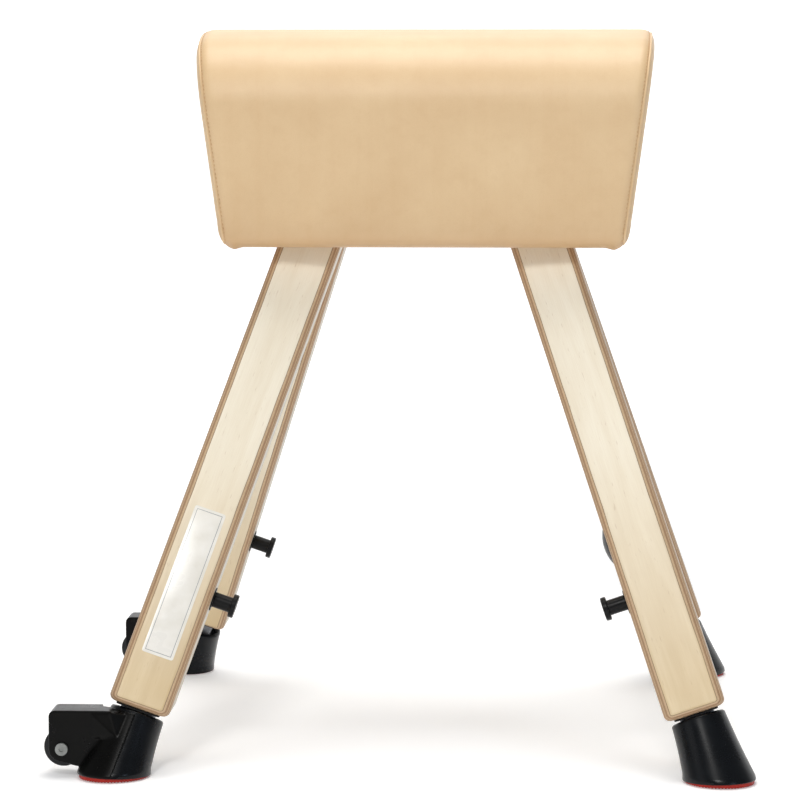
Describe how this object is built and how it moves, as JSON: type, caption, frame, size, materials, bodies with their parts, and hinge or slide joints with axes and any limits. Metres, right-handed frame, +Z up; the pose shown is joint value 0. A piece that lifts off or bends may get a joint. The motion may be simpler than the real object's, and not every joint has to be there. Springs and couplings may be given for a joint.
{
  "type": "vaulting buck",
  "caption": "Padded leather vaulting buck on splayed telescopic plywood legs, with spring locking pins, a clamp screw, rubber feet and two transport castors.",
  "frame": {"origin": "on the floor, at the centre of the footprint with the castors included, at the lowest height setting", "axes": "+X along the padded body, away from the castors; +Y across it; +Z up"},
  "size_m": [0.9034, 0.8722, 0.953],
  "materials": {
    "leather": "natural vegetable-tanned cowhide, semi-matt",
    "welt": "folded leather welt",
    "foam": "felted hair and foam padding",
    "core_timber": "raw birch plywood",
    "plywood": "clear-varnished birch plywood",
    "zinc_steel": "zinc plated",
    "guide_plastic": "grey polyamide",
    "black_plastic": "satin moulded",
    "foot_rubber": "semi-gloss moulded",
    "red_rubber": "soft treaded rubber",
    "wheel_plastic": "satin moulded",
    "tyre_rubber": "soft grey-black tread",
    "brass": "turned"
  },
  "bodies": {
    "root": {"leather_cover": "leather", "leather_end_left": "leather", "leather_end_right": "leather", "welts": "welt", "foam_padding": "foam", "core_end_boards": "core_timber", "core_side_boards": "core_timber", "core_top_board": "core_timber", "core_base_board": "core_timber", "leg_cheeks": "core_timber", "leg_head_blocks": "core_timber", "leg_head_bolts": "zinc_steel", "leg_guide_bushes": "guide_plastic", "plunger_sleeves": "black_plastic", "clamp_insert": "black_plastic", "leg_box_fl": "plywood", "leg_box_fr": "plywood", "leg_box_rl": "plywood", "leg_box_rr": "plywood"},
    "leg_fl": {"leg_tube_fl": "zinc_steel", "tube_glide_fl": "guide_plastic", "foot_fl": "foot_rubber", "foot_bolt_fl": "zinc_steel", "sole_fl": "red_rubber", "castor_bracket_fl": "black_plastic", "castor_axle_fl": "zinc_steel"},
    "leg_fr": {"leg_tube_fr": "zinc_steel", "tube_glide_fr": "guide_plastic", "foot_fr": "foot_rubber", "foot_bolt_fr": "zinc_steel", "sole_fr": "red_rubber"},
    "leg_rl": {"leg_tube_rl": "zinc_steel", "tube_glide_rl": "guide_plastic", "foot_rl": "foot_rubber", "foot_bolt_rl": "zinc_steel", "sole_rl": "red_rubber", "castor_bracket_rl": "black_plastic", "castor_axle_rl": "zinc_steel"},
    "leg_rr": {"leg_tube_rr": "zinc_steel", "tube_glide_rr": "guide_plastic", "foot_rr": "foot_rubber", "foot_bolt_rr": "zinc_steel", "sole_rr": "red_rubber"},
    "wheel_fl": {"castor_hub_fl": "wheel_plastic", "castor_tyre_fl": "tyre_rubber"},
    "wheel_rl": {"castor_hub_rl": "wheel_plastic", "castor_tyre_rl": "tyre_rubber"},
    "plunger_fl": {"plunger_knob_fl": "black_plastic", "plunger_pin_fl": "zinc_steel", "plunger_spring_fl": "zinc_steel"},
    "plunger_fr": {"plunger_knob_fr": "black_plastic", "plunger_pin_fr": "zinc_steel", "plunger_spring_fr": "zinc_steel"},
    "plunger_rl": {"plunger_knob_rl": "black_plastic", "plunger_pin_rl": "zinc_steel", "plunger_spring_rl": "zinc_steel"},
    "clamp_pad_rr": {"clamp_pad": "brass"},
    "clamp_knob_rr": {"clamp_screw": "zinc_steel", "clamp_knob": "black_plastic"}
  },
  "joints": [
    {"name": "leg_fl_slide", "type": "slide", "parent": "root", "child": "leg_fl", "axis": [-0.2945, -0.4264, -0.8552], "range_m": [0, 0.4677]},
    {"name": "leg_fr_slide", "type": "slide", "parent": "root", "child": "leg_fr", "axis": [0.2945, -0.4264, -0.8552], "range_m": [0, 0.4677]},
    {"name": "leg_rl_slide", "type": "slide", "parent": "root", "child": "leg_rl", "axis": [-0.2945, 0.4264, -0.8552], "range_m": [0, 0.4677]},
    {"name": "leg_rr_slide", "type": "slide", "parent": "root", "child": "leg_rr", "axis": [0.2945, 0.4264, -0.8552], "range_m": [0, 0.4677]},
    {"name": "plunger_fl_pull", "type": "slide", "parent": "root", "child": "plunger_fl", "axis": [0.9455, 0, -0.3255], "range_m": [-0.008, 0.002], "stiffness_N_per_m": 400, "springref_m": -0.012},
    {"name": "plunger_fr_pull", "type": "slide", "parent": "root", "child": "plunger_fr", "axis": [-0.9455, 0, -0.3255], "range_m": [-0.008, 0.002], "stiffness_N_per_m": 400, "springref_m": -0.012},
    {"name": "plunger_rl_pull", "type": "slide", "parent": "root", "child": "plunger_rl", "axis": [0.9455, 0, -0.3255], "range_m": [-0.008, 0.002], "stiffness_N_per_m": 400, "springref_m": -0.012},
    {"name": "clamp_pad_slide", "type": "slide", "parent": "root", "child": "clamp_pad_rr", "axis": [-0.9455, 0, -0.3255], "range_m": [-0.00033, 0.003]},
    {"name": "clamp_knob_turn", "type": "hinge", "parent": "clamp_pad_rr", "child": "clamp_knob_rr", "pos_m": [0.32929, 0.27781, 0.225], "axis": [-0.9455, 0, -0.3255], "range_deg": [-80, 720]},
    {"name": "wheel_fl_spin", "type": "hinge", "parent": "leg_fl", "child": "wheel_fl", "pos_m": [-0.42675, -0.375, 0.037], "axis": [0, 1, 0], "continuous": true},
    {"name": "wheel_rl_spin", "type": "hinge", "parent": "leg_rl", "child": "wheel_rl", "pos_m": [-0.42675, 0.375, 0.037], "axis": [0, 1, 0], "continuous": true}
  ],
  "couplings": [
    {"joint": "clamp_knob_turn", "follows": "clamp_pad_slide", "rad_per_m": 4188.8}
  ]
}
